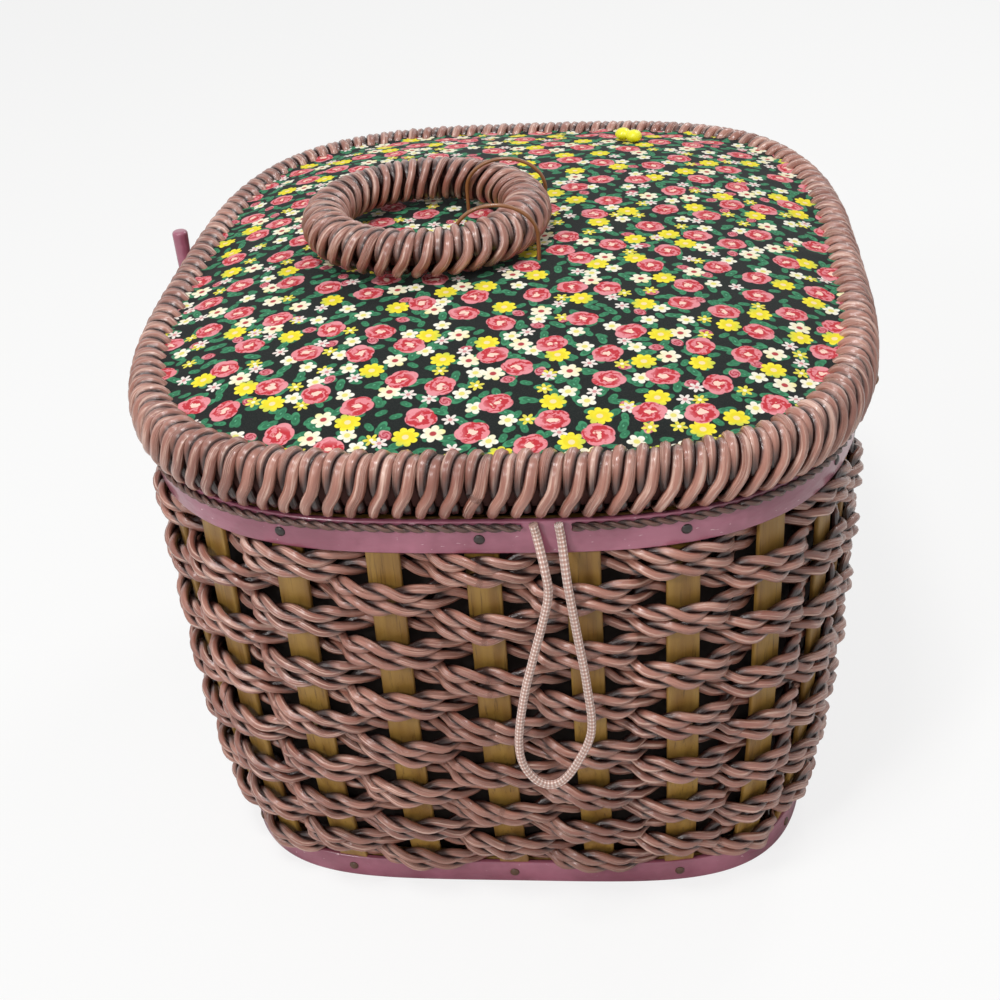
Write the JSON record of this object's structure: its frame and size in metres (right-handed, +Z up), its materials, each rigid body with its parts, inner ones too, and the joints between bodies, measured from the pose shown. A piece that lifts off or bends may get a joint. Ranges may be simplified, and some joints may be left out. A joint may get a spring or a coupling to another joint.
{
  "type": "sewing basket",
  "caption": "Woven oblong sewing basket with wooden stakes, lacquered bands, a padded hinged lid, a rope-wrapped rim and a ring handle.",
  "frame": {"origin": "centre of the base's underside", "axes": "+Z up, +Y along the long side, +X towards the long side that carries the lid's hinges"},
  "size_m": [0.2262, 0.2633, 0.19],
  "materials": {
    "twisted_strand": "dusty rose twisted strand with a pearly gloss",
    "lacquered_band": "mauve pink lacquer on a bent strip",
    "stake_wood": "varnished mustard brown split wood",
    "plywood": "bare thin plywood",
    "lining_fabric": "plain dusty pink lining cloth",
    "printed_cotton": "cotton with small flowers on a near-black ground",
    "coated_wire": "brown coated wire",
    "braided_cord": "pale pink braid with white flecks",
    "yellow_plastic": "bright yellow moulded plastic"
  },
  "bodies": {
    "basket": {"base_board": "plywood", "base_band": "lacquered_band", "stake_frame": "stake_wood", "weaver_row_01": "twisted_strand", "weaver_row_02": "twisted_strand", "weaver_row_03": "twisted_strand", "weaver_row_04": "twisted_strand", "weaver_row_05": "twisted_strand", "weaver_row_06": "twisted_strand", "weaver_row_07": "twisted_strand", "weaver_row_08": "twisted_strand", "weaver_row_09": "twisted_strand", "weaver_row_10": "twisted_strand", "weaver_row_11": "twisted_strand", "weaver_row_12": "twisted_strand", "weaver_row_13": "twisted_strand", "weaver_row_14": "twisted_strand", "top_band": "lacquered_band", "lining_wall": "lining_fabric", "lining_floor": "lining_fabric", "hinge_eye_near": "coated_wire", "hinge_eye_far": "coated_wire", "peg_staple": "coated_wire", "lid_stay": "braided_cord"},
    "lid": {"lid_rim": "twisted_strand", "lid_frame": "plywood", "lid_lining": "lining_fabric", "lid_board": "plywood", "lid_pad": "printed_cotton", "hinge_link_near": "coated_wire", "hinge_link_far": "coated_wire", "yellow_pin": "yellow_plastic"},
    "handle_wires": {"handle_wire_near": "coated_wire", "handle_wire_far": "coated_wire"},
    "handle": {"handle_core": "twisted_strand", "handle_wrap": "twisted_strand"},
    "peg": {"closure_peg": "lacquered_band"}
  },
  "joints": [
    {"name": "lid_hinge", "type": "hinge", "parent": "basket", "child": "lid", "pos_m": [0.10625, 0, 0.1431], "axis": [0, 1, 0], "range_deg": [0, 105]},
    {"name": "wire_lift", "type": "slide", "parent": "lid", "child": "handle_wires", "axis": [0, 0, 1], "range_m": [0, 0.0108]},
    {"name": "handle_swing", "type": "hinge", "parent": "handle_wires", "child": "handle", "pos_m": [-0.00181, 0, 0.17661], "axis": [0, 1, 0], "range_deg": [0, 90]},
    {"name": "peg_slide", "type": "slide", "parent": "basket", "child": "peg", "axis": [0, 0, 1], "range_m": [0, 0.03]}
  ],
  "couplings": [
    {"joint": "wire_lift", "follows": "handle_swing", "m_per_rad": 0.006875}
  ]
}
